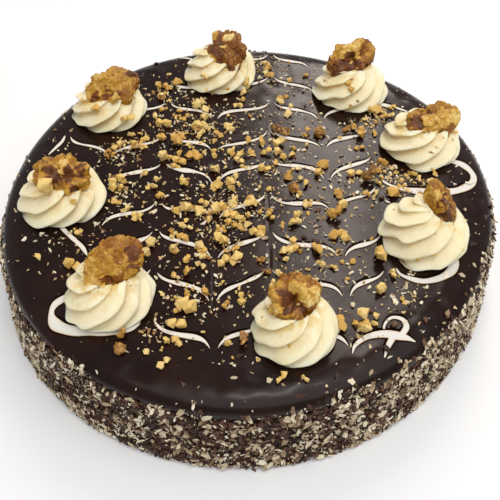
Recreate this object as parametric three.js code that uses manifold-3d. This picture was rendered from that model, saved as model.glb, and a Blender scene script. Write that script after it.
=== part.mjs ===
// A round chocolate gateau. A low cake is coated round its side with chocolate flakes. A poured
// chocolate glaze covers its top and hangs a little over the edge, with chopped nuts strewn on it.
// Eight piped cream rosettes stand near the rim, each with a piece of walnut pressed into it.
// Millimetres, +Z up, origin in the middle of the foot; the front of the cake faces -Y.

import * as THREE from 'three';
import { mergeVertices } from 'three/addons/utils/BufferGeometryUtils.js';
import Module from 'manifold-3d';

const wasm = await Module();
wasm.setup();

// Driving dimensions.
const CAKE_HEIGHT = 43.5;       // foot to the flat of the glaze
const GLAZE_RADIUS = 124;       // at the hem of the glaze, for a gateau of about 26 cm
const COAT_RADIUS = 125.5;      // of the flake coat at the hem of the glaze
const FOOT_RADIUS = 129.5;      // the flakes pile up a little at the foot
const GLAZE_THICKNESS = 3.5;
const GLAZE_DROP = 9;           // how far the glaze hangs below the flat of the top, on average
const SHOULDER_WIDTH = 13;      // the rounded edge of the top, measured inwards
const SHOULDER_DROP = 6.5;      // and downwards
const PIECE_GAP = 0.35;         // left between neighbouring pieces
const ROSETTE_RIDGES = 7;       // teeth of the piping nozzle
const ROSETTE_TWIST = 180;      // degrees that a ridge turns from foot to peak
const RIDGE_DEPTH = 0.17;       // of the rosette's radius
const NUT_SPACING = 13.4;       // between the larger nut chunks, before thinning
const FLAKE_SPACING = 19.5;     // between the larger flakes on the side
const ROUND_COLUMNS = 60;       // faces round the cake

// The cake isn't a true circle: waves round its outline, as shares of the radius.
const OUTLINE_WAVES = [
  { lobes: 2, size: 0.0136, bearing: 72 },
  { lobes: 3, size: 0.0092, bearing: 13.5 },
  { lobes: 4, size: 0.0041, bearing: 26 },
];

// The hem of the glaze is uneven: waves of its drop, in millimetres.
const HEM_WAVES = [
  { lobes: 3, size: 0.7, bearing: 40 },
  { lobes: 7, size: 0.8, bearing: 11 },
  { lobes: 13, size: 0.5, bearing: 20 },
];

// Each rosette stands at a bearing (degrees from +X, anticlockwise) and a reach from the middle.
// Its walnut's middle lies right, back and up from the middle of the rosette's foot. The walnut
// is length by width by depth, and is turned about Z (yaw), then tipped (pitch), then rolled.
const ROSETTES = [
  {
    bearing: 143, reach: 97, radius: 20.3, height: 18, start: 5,
    walnut: { right: 3.6, back: -1, up: 16, size: [31, 20, 12], yaw: 18, pitch: -12, roll: 38 },
  },
  {
    bearing: 100.3, reach: 94.3, radius: 20.6, height: 18.5, start: 22,
    walnut: { right: 3.8, back: 0, up: 15.5, size: [26, 22, 12], yaw: 80, pitch: -38, roll: -8 },
  },
  {
    bearing: 52.7, reach: 96, radius: 20.8, height: 19, start: 31,
    walnut: { right: -0.5, back: 3.8, up: 19.5, size: [28, 19, 13], yaw: 24, pitch: -20, roll: 36 },
  },
  {
    bearing: 18, reach: 96.4, radius: 21, height: 18, start: 12,
    walnut: { right: 3.5, back: 0, up: 16.5, size: [28, 17, 12], yaw: 12, pitch: -12, roll: 24 },
  },
  {
    bearing: -23.5, reach: 90.4, radius: 21.2, height: 19.5, start: 0,
    walnut: { right: 5, back: 3.2, up: 18.5, size: [24, 15, 11], yaw: 118, pitch: -42, roll: 30 },
  },
  {
    bearing: -77.5, reach: 91.8, radius: 18.5, height: 18.5, start: 17,
    walnut: { right: -0.7, back: 3.5, up: 18.5, size: [22, 19, 12], yaw: 60, pitch: -24, roll: 10 },
  },
  {
    bearing: -129.7, reach: 94.3, radius: 19.6, height: 19, start: 9,
    walnut: { right: 3.9, back: 3.8, up: 19.5, size: [28, 19, 13], yaw: 38, pitch: -20, roll: 30 },
  },
  {
    bearing: -172.7, reach: 92.5, radius: 20.7, height: 17.5, start: 26,
    walnut: { right: 3, back: 0.5, up: 16.5, size: [28, 19, 12], yaw: -4, pitch: 4, roll: 26 },
  },
];

const TOP_PLANE = CAKE_HEIGHT;
const GOLDEN_ANGLE = Math.PI * (3 - Math.sqrt(5));

// Materials, with the colours of the real food.
const coat = new THREE.MeshStandardMaterial({ color: 0x6f5d4c, roughness: 0.8, metalness: 0 });
const glaze = new THREE.MeshStandardMaterial({ color: 0x2b1c18, roughness: 0.25, metalness: 0 });
const cream = new THREE.MeshStandardMaterial({ color: 0xebe1be, roughness: 0.55, metalness: 0 });
const walnut = new THREE.MeshStandardMaterial({ color: 0xa06c2c, roughness: 0.5, metalness: 0 });

// A repeatable stream of numbers from 0 to 1.
function seededRandom(seed) {
  let state = seed >>> 0;
  return () => {
    state = (state + 0x6d2b79f5) >>> 0;
    let mixed = Math.imul(state ^ (state >>> 15), state | 1);
    mixed ^= mixed + Math.imul(mixed ^ (mixed >>> 7), mixed | 61);
    return ((mixed ^ (mixed >>> 14)) >>> 0) / 4294967296;
  };
}

// Sum of waves round the cake at an angle in radians.
function waveSum(waves, angle) {
  let total = 0;
  for (const wave of waves) {
    total += wave.size * Math.cos(wave.lobes * (angle - THREE.MathUtils.degToRad(wave.bearing)));
  }
  return total;
}

// A closed solid through rows of points, from a pole below or behind to a pole above or in front.
// pointAt(row, column) gives a Vector3; rows run outwards and up, columns run anticlockwise.
function rowSolid(rows, columns, firstPole, pointAt, lastPole) {
  const points = [firstPole];
  for (let row = 0; row < rows; row += 1) {
    for (let column = 0; column < columns; column += 1) points.push(pointAt(row, column));
  }
  points.push(lastPole);
  const at = (row, column) => 1 + row * columns + (column % columns);
  const last = points.length - 1;
  const faces = [];
  for (let column = 0; column < columns; column += 1) {
    faces.push(0, at(0, column + 1), at(0, column));
    for (let row = 0; row < rows - 1; row += 1) {
      const quad = [
        at(row, column), at(row, column + 1), at(row + 1, column + 1), at(row + 1, column),
      ];
      const [a, b, c, d] = quad;
      const spans = [points[a].distanceTo(points[c]), points[b].distanceTo(points[d])];
      if (spans[0] < spans[1]) faces.push(a, b, c, a, c, d);
      else faces.push(a, b, d, b, c, d);
    }
    faces.push(at(rows - 1, column), at(rows - 1, column + 1), last);
  }
  const geometry = new THREE.BufferGeometry().setFromPoints(points);
  geometry.setIndex(faces);
  return geometry;
}

// A ring point at an angle, radius and height.
function polar(radius, angle, height) {
  return new THREE.Vector3(radius * Math.cos(angle), radius * Math.sin(angle), height);
}

// Indexed geometry to a boolean solid, and back.
function toSolid(geometry) {
  return new wasm.Manifold(new wasm.Mesh({
    numProp: 3,
    vertProperties: new Float32Array(geometry.attributes.position.array),
    triVerts: new Uint32Array(geometry.index.array),
  }));
}

function toGeometry(solid) {
  const mesh = solid.getMesh();
  const geometry = new THREE.BufferGeometry();
  geometry.setAttribute('position', new THREE.BufferAttribute(mesh.vertProperties, 3));
  geometry.setIndex(new THREE.BufferAttribute(mesh.triVerts, 1));
  return geometry;
}

// The largest body of a solid, without the loose scraps that cutting leaves.
function largestBody(solid) {
  return solid.decompose().reduce((best, body) => (body.volume() > best.volume() ? body : best));
}

// The glaze's radius and the height of its hem, at an angle round the cake.
function glazeRadius(angle) {
  return GLAZE_RADIUS * (1 + waveSum(OUTLINE_WAVES, angle));
}

function hemHeight(angle) {
  return TOP_PLANE - GLAZE_DROP - waveSum(HEM_WAVES, angle);
}

// A point on the rounded shoulder, inset from its outer surface. turn is 0 on the flat of the
// top and 1 on the upright side.
function shoulderPoint(angle, turn, inset) {
  const radius = glazeRadius(angle) - SHOULDER_WIDTH;
  const bend = turn * Math.PI / 2;
  return polar(
    radius + (SHOULDER_WIDTH - inset) * Math.sin(bend),
    angle,
    TOP_PLANE - SHOULDER_DROP + (SHOULDER_DROP - inset) * Math.cos(bend),
  );
}

// The radius of the flake coat at an angle and a height: widest at the foot.
function sideRadius(angle, height) {
  const rise = Math.min(height / hemHeight(angle), 1);
  const radius = COAT_RADIUS + (FOOT_RADIUS - COAT_RADIUS) * (1 - rise) ** 1.5;
  return radius * (1 + waveSum(OUTLINE_WAVES, angle));
}

// The cake with its side coat, up to the underside of the glaze.
function cakeCore() {
  const inset = GLAZE_THICKNESS + PIECE_GAP;
  const footEdge = 2;
  const sideHeights = [footEdge, 12, 25];
  const rimHeight = (angle) => hemHeight(angle) - PIECE_GAP;
  const rimEdge = 1.2;
  const shoulderTurns = [1, 0.5, 0];
  const lumps = [
    { lobes: 13, size: 0.6, bearing: 3 },
    { lobes: 23, size: 0.4, bearing: 8 },
  ];
  const rows = [
    (angle) => polar(sideRadius(angle, 0) - footEdge, angle, 0),
    ...sideHeights.map((height, row) => (angle) => (
      polar(sideRadius(angle, height) + waveSum(lumps, angle + row), angle, height)
    )),
    (angle) => polar(sideRadius(angle, rimHeight(angle)) - rimEdge, angle, rimHeight(angle)),
    (angle) => polar(glazeRadius(angle) - inset, angle, rimHeight(angle)),
    ...shoulderTurns.map((turn) => (angle) => shoulderPoint(angle, turn, inset)),
  ];
  return rowSolid(
    rows.length,
    ROUND_COLUMNS,
    new THREE.Vector3(0, 0, 0),
    (row, column) => rows[row](column / ROUND_COLUMNS * 2 * Math.PI),
    new THREE.Vector3(0, 0, TOP_PLANE - inset),
  );
}

// The poured glaze: a skin over the top and down over the shoulder.
function glazeSkin() {
  const underTurns = [0, 0.5, 1];
  const outerTurns = [1, 0.67, 0.33, 0];
  const hemPoint = (inset) => (angle) => polar(glazeRadius(angle) - inset, angle, hemHeight(angle));
  const rows = [
    ...underTurns.map((turn) => (angle) => shoulderPoint(angle, turn, GLAZE_THICKNESS)),
    hemPoint(GLAZE_THICKNESS),
    hemPoint(0),
    ...outerTurns.map((turn) => (angle) => shoulderPoint(angle, turn, 0)),
  ];
  return rowSolid(
    rows.length,
    ROUND_COLUMNS,
    new THREE.Vector3(0, 0, TOP_PLANE - GLAZE_THICKNESS),
    (row, column) => rows[row](column / ROUND_COLUMNS * 2 * Math.PI),
    new THREE.Vector3(0, 0, TOP_PLANE),
  );
}

// One irregular flat flake of chocolate: a thin slab on four uneven corners.
function flakeSlab(random, length, width, thickness) {
  const outline = new THREE.Shape();
  const corners = 4;
  for (let corner = 0; corner < corners; corner += 1) {
    const angle = (corner + 0.5 + 0.5 * (random() - 0.5)) / corners * 2 * Math.PI;
    const reach = 0.55 + 0.2 * random();
    const x = length * reach * Math.cos(angle);
    const y = width * reach * Math.sin(angle);
    if (corner === 0) outline.moveTo(x, y);
    else outline.lineTo(x, y);
  }
  const slab = new THREE.ExtrudeGeometry(outline, { depth: thickness, bevelEnabled: false });
  slab.translate(0, 0, -thickness / 2);
  return closedGeometry(slab);
}

// One chopped nut chunk: a lump of twenty uneven faces.
function nutChunk(random, size) {
  const lump = closedGeometry(new THREE.IcosahedronGeometry(size / 2, 0));
  const position = lump.attributes.position;
  const stretch = new THREE.Vector3(1.25, 0.75 + 0.4 * random(), 0.8);
  const corner = new THREE.Vector3();
  for (let index = 0; index < position.count; index += 1) {
    corner.fromBufferAttribute(position, index);
    corner.multiply(stretch).multiplyScalar(0.78 + 0.44 * random());
    position.setXYZ(index, corner.x, corner.y, corner.z);
  }
  return lump;
}

// Geometry with positions only and its shared corners merged.
function closedGeometry(geometry) {
  geometry.deleteAttribute('normal');
  geometry.deleteAttribute('uv');
  return mergeVertices(geometry, 1e-3);
}

// The cake with the larger flakes of its coat, in staggered tiers round the side, each tipped
// its own way. The lowest are broken off above the foot, so that the cake stands on its flat foot.
function cakeWithFlakes() {
  const random = seededRandom(11);
  const tiers = 2;
  const lowest = 7;
  const tierRise = 15;
  const heightJitter = 5;
  const thickness = 1.4;
  const footClearance = 0.6;
  const perTier = Math.floor(2 * Math.PI * FOOT_RADIUS / FLAKE_SPACING);
  let body = toSolid(cakeCore());
  for (let tier = 0; tier < tiers; tier += 1) {
    for (let place = 0; place < perTier; place += 1) {
      const angle = (place + tier / tiers + 0.5 * random()) / perTier * 2 * Math.PI;
      const height = lowest + tier * tierRise + heightJitter * (random() - 0.5);
      const flake = flakeSlab(random, 8 + 4 * random(), 5 + 3 * random(), thickness);
      flake.rotateZ(random() * Math.PI);
      flake.rotateX((random() - 0.5) * 0.8);
      flake.rotateY(Math.PI / 2 + (random() - 0.5) * 0.6);
      flake.translate(sideRadius(angle, height) + 0.2, 0, 0);
      flake.rotateZ(angle);
      flake.translate(0, 0, height);
      body = body.add(toSolid(flake).trimByPlane([0, 0, 1], footClearance));
    }
  }
  return largestBody(body);
}

// How thickly the chopped nuts lie at a place on the top, from 0 to 1: they are strewn over the
// middle and thin out towards the rim.
function nutDensity(x, y) {
  const acrossMiddle = ((x + 4) / 66) ** 2;
  const alongMiddle = ((y - 14) / 76) ** 2;
  return 0.04 + 0.96 * Math.exp(-acrossMiddle - alongMiddle);
}

// Whether a place on the top lies clear of every rosette, by a margin.
function clearOfRosettes(x, y, margin) {
  return ROSETTES.every((rosette) => {
    const foot = polar(rosette.reach, THREE.MathUtils.degToRad(rosette.bearing), 0);
    return Math.hypot(x - foot.x, y - foot.y) > rosette.radius * 1.06 + margin;
  });
}

// The glaze with the larger nut chunks that lie on it, half sunk where they fell.
function glazeWithNuts() {
  const random = seededRandom(5);
  const edge = GLAZE_RADIUS - SHOULDER_WIDTH - 5;
  const places = Math.floor((edge / NUT_SPACING * 1.77) ** 2);
  let skin = toSolid(glazeSkin());
  for (let place = 1; place < places; place += 1) {
    const reach = NUT_SPACING / 1.77 * Math.sqrt(place) + 3 * (random() - 0.5);
    const angle = place * GOLDEN_ANGLE + 0.3 * (random() - 0.5);
    const x = reach * Math.cos(angle);
    const y = reach * Math.sin(angle);
    const size = 3.6 + 3.6 * random() ** 2;
    const kept = random() < nutDensity(x, y);
    const chunk = nutChunk(random, size);
    chunk.rotateZ(random() * 2 * Math.PI);
    chunk.translate(x, y, TOP_PLANE + 0.2 * size);
    if (kept && reach < edge && clearOfRosettes(x, y, 0.75 * size)) {
      skin = skin.add(toSolid(chunk));
    }
  }
  return largestBody(skin);
}

// The rosette's outline from foot to peak: radius and height as shares of its own.
const ROSETTE_PROFILE = [
  { radius: 0.98, height: 0 },
  { radius: 1, height: 0.14 },
  { radius: 0.92, height: 0.42 },
  { radius: 0.73, height: 0.68 },
  { radius: 0.46, height: 0.88 },
  { radius: 0.18, height: 0.98 },
];

// A piped rosette: rounded ridges with sharp furrows between them, that wind up to the peak.
function rosetteSwirl(rosette) {
  const columnsPerRidge = 5;
  const columns = ROSETTE_RIDGES * columnsPerRidge;
  const rows = ROSETTE_PROFILE.length;
  const twist = THREE.MathUtils.degToRad(ROSETTE_TWIST);
  const start = THREE.MathUtils.degToRad(rosette.start);
  return rowSolid(
    rows,
    columns,
    new THREE.Vector3(0, 0, 0),
    (row, column) => {
      const { radius, height } = ROSETTE_PROFILE[row];
      const crest = Math.abs(Math.sin(column / columnsPerRidge * Math.PI)) ** 0.8;
      const reach = rosette.radius * radius * (1 - RIDGE_DEPTH * (1 - crest) * (1 + 0.5 * height));
      const angle = column / columns * 2 * Math.PI + start + twist * row / (rows - 1);
      return polar(reach, angle, rosette.height * height);
    },
    new THREE.Vector3(0, 0, rosette.height * 1.04),
  );
}

// A piece of walnut along its own X: lobed, with a deep cleft down its upper and lower side and
// coarse wrinkles.
function walnutPiece(size, phase) {
  const columns = 12;
  const rows = 8;
  const [length, width, depth] = size;
  const piece = rowSolid(
    rows,
    columns,
    new THREE.Vector3(0, 0, -length / 2),
    (row, column) => {
      const along = Math.cos((rows - row) / (rows + 1) * Math.PI);
      const around = column / columns * 2 * Math.PI;
      const girth = (1 - along ** 2) ** 0.4;
      const cleft = 0.38 * Math.abs(Math.cos(around)) ** 10;
      const wrinkles = 0.11 * Math.sin(4 * around + 4 * along + phase);
      const knobs = 0.1 * Math.sin(7 * along + 2 * around + 2 * phase);
      const swell = girth * (1 - cleft + wrinkles + knobs);
      return new THREE.Vector3(
        depth / 2 * swell * Math.cos(around),
        width / 2 * swell * Math.sin(around),
        along * length / 2,
      );
    },
    new THREE.Vector3(0, 0, length / 2),
  );
  return piece.rotateY(Math.PI / 2);
}

// A copy of a closed shape, with every corner moved outwards.
function thickened(geometry, growth) {
  const thicker = geometry.clone();
  thicker.computeVertexNormals();
  const { position, normal } = thicker.attributes;
  const corner = new THREE.Vector3();
  const outwards = new THREE.Vector3();
  for (let index = 0; index < position.count; index += 1) {
    corner.fromBufferAttribute(position, index);
    outwards.fromBufferAttribute(normal, index);
    corner.addScaledVector(outwards, growth);
    position.setXYZ(index, corner.x, corner.y, corner.z);
  }
  return thicker;
}

// One named piece of the cake.
function pieceMesh(name, geometry, material) {
  const mesh = new THREE.Mesh(geometry, material);
  mesh.name = name;
  geometry.computeVertexNormals();
  return mesh;
}

// A rosette and its walnut, in a group that stands on the glaze. The cream is cut clear of the
// walnut that is pressed into it.
function rosetteGroup(rosette, number) {
  const { right, back, up, size, yaw, pitch, roll } = rosette.walnut;
  const nut = pieceMesh(`walnut_${number}`, walnutPiece(size, number), walnut);
  nut.position.set(right, back, up);
  nut.rotation.set(...[roll, pitch, yaw].map(THREE.MathUtils.degToRad), 'ZYX');
  nut.updateMatrix();
  const socket = thickened(nut.geometry, 2 * PIECE_GAP).applyMatrix4(nut.matrix);
  const swirl = toSolid(rosetteSwirl(rosette)).subtract(toSolid(socket));
  const group = new THREE.Group();
  group.add(pieceMesh(`rosette_${number}`, toGeometry(largestBody(swirl)), cream), nut);
  group.position.copy(polar(
    rosette.reach,
    THREE.MathUtils.degToRad(rosette.bearing),
    TOP_PLANE + PIECE_GAP,
  ));
  return group;
}

const cake = new THREE.Group();
cake.add(pieceMesh('cake_body', toGeometry(cakeWithFlakes()), coat));
cake.add(pieceMesh('ganache', toGeometry(glazeWithNuts()), glaze));
ROSETTES.forEach((rosette, index) => cake.add(rosetteGroup(rosette, index + 1)));

// The foot's middle is the origin, by the whole cake's box.
const middle = new THREE.Box3().setFromObject(cake).getCenter(new THREE.Vector3());
cake.position.set(-middle.x, -middle.y, 0);

export default cake;
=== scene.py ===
"""A chocolate gateau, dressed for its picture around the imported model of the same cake.

Lengths are in millimetres from the cake's upright axis and its foot, and they become metres in
the frame when a mesh is made. The front of the cake faces -Y.
"""

import math
from collections import namedtuple

import bmesh
import bpy
import numpy as np
from mathutils import Euler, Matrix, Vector


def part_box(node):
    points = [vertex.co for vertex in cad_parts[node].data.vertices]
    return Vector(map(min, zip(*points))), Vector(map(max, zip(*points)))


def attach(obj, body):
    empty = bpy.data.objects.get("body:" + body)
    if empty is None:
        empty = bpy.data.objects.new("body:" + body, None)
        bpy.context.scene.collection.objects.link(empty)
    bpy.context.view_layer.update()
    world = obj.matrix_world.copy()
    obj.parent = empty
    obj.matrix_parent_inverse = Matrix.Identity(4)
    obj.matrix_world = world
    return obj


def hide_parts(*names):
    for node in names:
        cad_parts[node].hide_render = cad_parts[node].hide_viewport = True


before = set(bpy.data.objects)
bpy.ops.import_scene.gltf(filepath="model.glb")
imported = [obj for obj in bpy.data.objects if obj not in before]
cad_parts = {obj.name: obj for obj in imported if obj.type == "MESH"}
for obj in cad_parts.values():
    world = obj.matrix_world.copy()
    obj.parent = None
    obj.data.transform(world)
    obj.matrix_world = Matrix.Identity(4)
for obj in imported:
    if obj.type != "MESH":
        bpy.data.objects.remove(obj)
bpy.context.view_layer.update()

MM = 0.001

# The cake's own form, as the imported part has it.
CAKE_HEIGHT = 43.5       # foot to the flat of the glaze
GLAZE_RADIUS = 124       # at the hem of the glaze
COAT_RADIUS = 125.5      # of the flake coat at the hem of the glaze
FOOT_RADIUS = 129.5      # of the flake coat at the foot
GLAZE_THICKNESS = 3.5
GLAZE_DROP = 9           # how far the glaze hangs below its flat
SHOULDER_WIDTH = 13      # the rounded edge of the top, inwards
SHOULDER_DROP = 6.5      # and downwards
FLAT_SHARE = 0.86        # of the steps over the top, up to its shoulder
PIECE_GAP = 0.35
PART_COLUMNS = 60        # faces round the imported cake
ROSETTE_RIDGES = 7
ROSETTE_TWIST = 180      # degrees that a ridge turns from foot to peak
NUT_SPACING = 13.4       # between the larger nuts, before thinning
GOLDEN_ANGLE = math.pi * (3 - math.sqrt(5))
LOWEST = 0.04            # height of any piece over the floor

# The photograph's view: its camera's place from the axis and the foot, how far it looks down in
# degrees, and the width and focal length of its picture in pixels.
CAMERA_PLACE = np.array([1.125, -257.16, 245.94 + CAKE_HEIGHT])
LOOK_DOWN = 49.1
IMAGE_WIDTH = 500
FOCAL_LENGTH = 700

# Waves of the outline, as shares of the radius, and of the hem, in millimetres: lobes, size and
# bearing in degrees.
OUTLINE_WAVES = [(2, 0.0136, 72), (3, 0.0092, 13.5), (4, 0.0041, 26)]
HEM_WAVES = [(3, 0.7, 40), (7, 0.8, 11), (13, 0.5, 20)]

# A rosette stands at a bearing and a reach from the axis. Its walnut's middle lies right, back
# and up from the middle of its foot. The walnut is turned by yaw, pitch and roll. Its skin is
# from 0, pale, over 0.3, golden, to 1, dark brown. Its folds are from 0, flat, to 1, deep. Each
# break is a flat broken face: the way it looks, and how far out it lies as a share of the nut.
# Each spot is a part with its own look: its place, radius, tone as the skin's, and how far it
# stands out. Its place was picked in an enlarged crop of the photograph, across and down
# from the crop's corner, or where it has three numbers, set right, back and up of the nut's
# middle. The crop is given by the pixel in its own middle.
Rosette = namedtuple("Rosette", "bearing reach radius height start walnut")
Walnut = namedtuple("Walnut", "right back up size turn skin folds breaks crop spots")
CROP_REACH = 34          # pixels of the photograph from a crop's middle to its edge
CROP_SCALE = 7
ROSETTES = [
    Rosette(143, 97, 20.3, 18, 5, Walnut(
        3.6, -1, 16, (31, 20, 12), (18, -12, 38), 0.5, 0.2, [((-0.25, -0.75, 0.6), 0.4)],
        (111, 98),
        [(200, 140, 9, 0.3, 0), (320, 110, 5, 0.34, 0), (400, 60, 4.5, 0.95, 0.8),
         (110, 235, 3.2, 0.85, 0), (200, 215, 3.4, 0.8, -0.4), (285, 205, 3, 0.85, 0),
         (75, 130, 2, 0.5, -1.4), (160, 80, 3, 0.2, 0.8)],
    )),
    Rosette(100.3, 94.3, 20.6, 18.5, 22, Walnut(
        3.8, 0, 15.5, (26, 22, 12), (80, -38, -8), 0.66, 0.9, [],
        (222, 64),
        [(170, 150, 4.5, 0.9, 0.8), (215, 50, 3, 0.85, 1), (380, 180, 3.5, 0.8, 0.6),
         (300, 270, 4, 0.95, 2.5), (276, 45, 3, 0.1, 1), (160, 205, 3.2, 0.22, 1.2),
         (345, 70, 3, 0.3, 0.6), (250, 120, 2.4, 0.12, 0.8), (235, 90, 2, 1, -1.5),
         (-6, 6, 7, 2.4, 0.26, 0.6)],
    )),
    Rosette(52.7, 96, 20.8, 19, 31, Walnut(
        -0.5, 3.8, 19.5, (28, 19, 13), (24, -20, 36), 0.7, 0.65, [((-0.3, -0.2, 0.93), 0.6)],
        (350, 72),
        [(180, 100, 4.5, 0.28, 1), (270, 55, 5, 0.22, 1.2), (100, 160, 2.5, 0.5, 0.6),
         # The darkest sunken spots at 180, 165 and 250, 126 are painted shadow under the top slab.
         (150, 230, 5, 0.9, 0.4), (260, 200, 5.4, 0.9, -0.6), (180, 165, 2.6, 1, -1.8),
         (250, 126, 2.6, 1, -1.8), (385, 90, 4, 0.42, 1), (240, 165, 1.5, 0.12, 0.5)],
    )),
    Rosette(18, 96.4, 21, 18, 12, Walnut(
        3.5, 0, 16.5, (28, 17, 12), (12, -12, 24), 0.4, 0.5, [((0.3, -0.7, 0.65), 0.6)],
        (430, 134),
        [(140, 150, 4.8, 0.88, 0.8), (85, 205, 3, 0.5, 0.4), (250, 85, 2.4, 1, -1.6),
         (215, 145, 2.2, 0.2, 0.6), (340, 150, 7, 0.22, 1), (400, 130, 4, 0.16, 0.5),
         (385, 205, 2.5, 0.6, 0)],
    )),
    Rosette(-23.5, 90.4, 21.2, 19.5, 0, Walnut(
        5, 3.2, 18.5, (24, 15, 11), (118, -42, 30), 0.5, 0.4, [((-0.7, -0.6, 0.3), 0.6)],
        (430, 220),
        [(285, 70, 5, 0.22, 1), (245, 120, 3.5, 0.4, 0.6), (330, 205, 6, 0.97, 0.5),
         (375, 120, 4, 0.95, 0.3), (400, 260, 3.5, 0.9, 0.8), (415, 170, 2.2, 0.4, 0.5),
         (340, 290, 3, 0.9, 2)],
    )),
    Rosette(-77.5, 91.8, 18.5, 18.5, 17, Walnut(
        -0.7, 3.5, 18.5, (22, 19, 12), (60, -24, 10), 0.5, 0.7, [],
        (296, 318),
        [(105, 150, 4.5, 0.2, 1.2), (90, 70, 4, 0.28, 1), (190, 225, 3.2, 0.4, 1),
         (245, 240, 3, 0.45, 1), (345, 110, 4.5, 0.14, 1.4), (260, 35, 4, 0.22, 1),
         (170, 90, 3.6, 1, -1.8), (225, 165, 4.8, 1, -2.8), (290, 185, 3.6, 0.95, -1.8),
         (262, 160, 2, 0.06, 2)],
    )),
    Rosette(-129.7, 94.3, 19.6, 19, 9, Walnut(
        3.9, 3.8, 19.5, (28, 19, 13), (38, -20, 30), 0.45, 0.2, [((0.1, -0.8, 0.6), 0.4)],
        (108, 284),
        [(250, 150, 8, 0.34, 0), (330, 110, 5, 0.36, 0), (120, 240, 4.5, 0.26, 0.6),
         (120, 90, 2.6, 0.16, 0.5), (200, 50, 2.6, 0.5, 0.3), (300, 40, 3, 0.56, 0.2),
         (410, 120, 2.6, 0.85, 0.3), (9, 2, 5, 3.4, 0.9, 0.3), (330, 225, 3.2, 0.7, 0.3),
         (235, 248, 3, 0.8, -4), (130, 285, 3, 0.35, 1.8)],
    )),
    Rosette(-172.7, 92.5, 20.7, 17.5, 26, Walnut(
        3, 0.5, 16.5, (28, 19, 12), (-4, 4, 26), 0.36, 0.7, [],
        (62, 186),
        [(110, 115, 3.5, 0.24, 1), (2, 1.5, 6, 3.4, 0.22, 0.8), (400, 110, 3.5, 0.3, 0.8),
         (160, 165, 5.2, 0.95, -1.8), (300, 170, 5.8, 0.95, -1.8), (225, 140, 1.8, 0.1, 0.8),
         (385, 215, 2.8, 0.4, 0.8), (60, 200, 3, 0.4, 0.6)],
    )),
]

# The rosette's outline from foot to peak: radius and height as shares of its own.
ROSETTE_PROFILE = [
    (0.96, 0), (1, 0.14), (0.92, 0.42), (0.73, 0.68), (0.46, 0.88), (0.18, 0.98), (0, 1.04),
]

# A line dragged through the wet icing: where it crosses the middle, its lean to the right on the
# way to the back, and which way it was pulled, 1 to the back and -1 to the front.
DragLine = namedtuple("DragLine", "across lean way")
DRAG_LINES = [
    DragLine(-97, 0, 1),
    DragLine(-72, 0, -1),
    DragLine(-44, -0.02, 1),
    DragLine(-16.5, -0.03, -1),
    DragLine(11, 0.03, 1),
    DragLine(41.5, -0.03, -1),
    DragLine(66, 0.04, 1),
]
# A drag draws a line out in two stages: how far, and how soon it comes back.
DRAG_PULLS = [(6, 6.5), (7, 1.9)]

# The icing was piped to and fro in rows, front to back: where a row crosses the middle, its rise
# to the right, and the drag lines that it starts and ends at.
IcingRow = namedtuple("IcingRow", "middle rise left right")
ICING_ROWS = [
    IcingRow(-91, 0, -44, 42),
    IcingRow(-63.5, 0.02, -44, 66),
    IcingRow(-40.5, -0.01, -72, 66),
    IcingRow(-15.5, 0.09, -72, 66),
    IcingRow(11.5, 0.05, -72, 66),
    IcingRow(32.5, 0.05, -97, 66),
    IcingRow(60, 0, -72, 66),
    IcingRow(82, 0.05, -44, 66),
    IcingRow(107.5, -0.01, -44, 42),
]
ICING_WIDTH = 2.6
ICING_BLUNT = 0.3        # a stroke stops this far short of its point
TURN_WIDTH = 4.2         # of the thicker icing in the turns at the row ends

# The ends of rows and the turns between them, where they show from under the rosettes: the line
# that the icing takes.
TURNS = [
    [(-45.6, -83.5), (-47, -86.5), (-51, -89.3), (-59, -90.5), (-68, -90), (-76, -88.6),
     (-82, -85.5), (-84.5, -80.5), (-83.5, -75.5), (-78.5, -71.5), (-70, -68.5), (-60, -66.8),
     (-52, -64.5), (-46.5, -60), (-44, -56)],
    [(-91, -26), (-88, -31), (-83, -36.5), (-77.5, -42), (-74, -47.5)],
    [(-99, 38), (-99.6, 33), (-102, 28), (-105, 22)],
    [(67.5, -55), (68.8, -58.4), (72.5, -61), (79, -62.8), (87, -60.8), (92.5, -56.5),
     (94.5, -50), (92, -44), (85, -40.5), (76, -39.5), (70, -37), (66.6, -32)],
    [(68, 4.5), (69.4, 1.6), (73, -1.4), (79, -4), (89, -5.8), (99, -6), (107, -4.2),
     (113.5, 0.5), (115.5, 7), (112, 13.5), (104, 17.5), (94, 17.5), (85, 16)],
    [(68, 71), (69.8, 67.6), (74, 65.4), (83, 62), (90, 58)],
]

# Where the coat of flakes laps further over the hem: bearing, spread in degrees, and rise.
FLAKE_LAPS = [(-99, 4, 3.2), (-76, 9, 3.4), (-45, 24, 4.6), (-129, 7, 3.4), (-110, 7, -1)]

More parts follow.
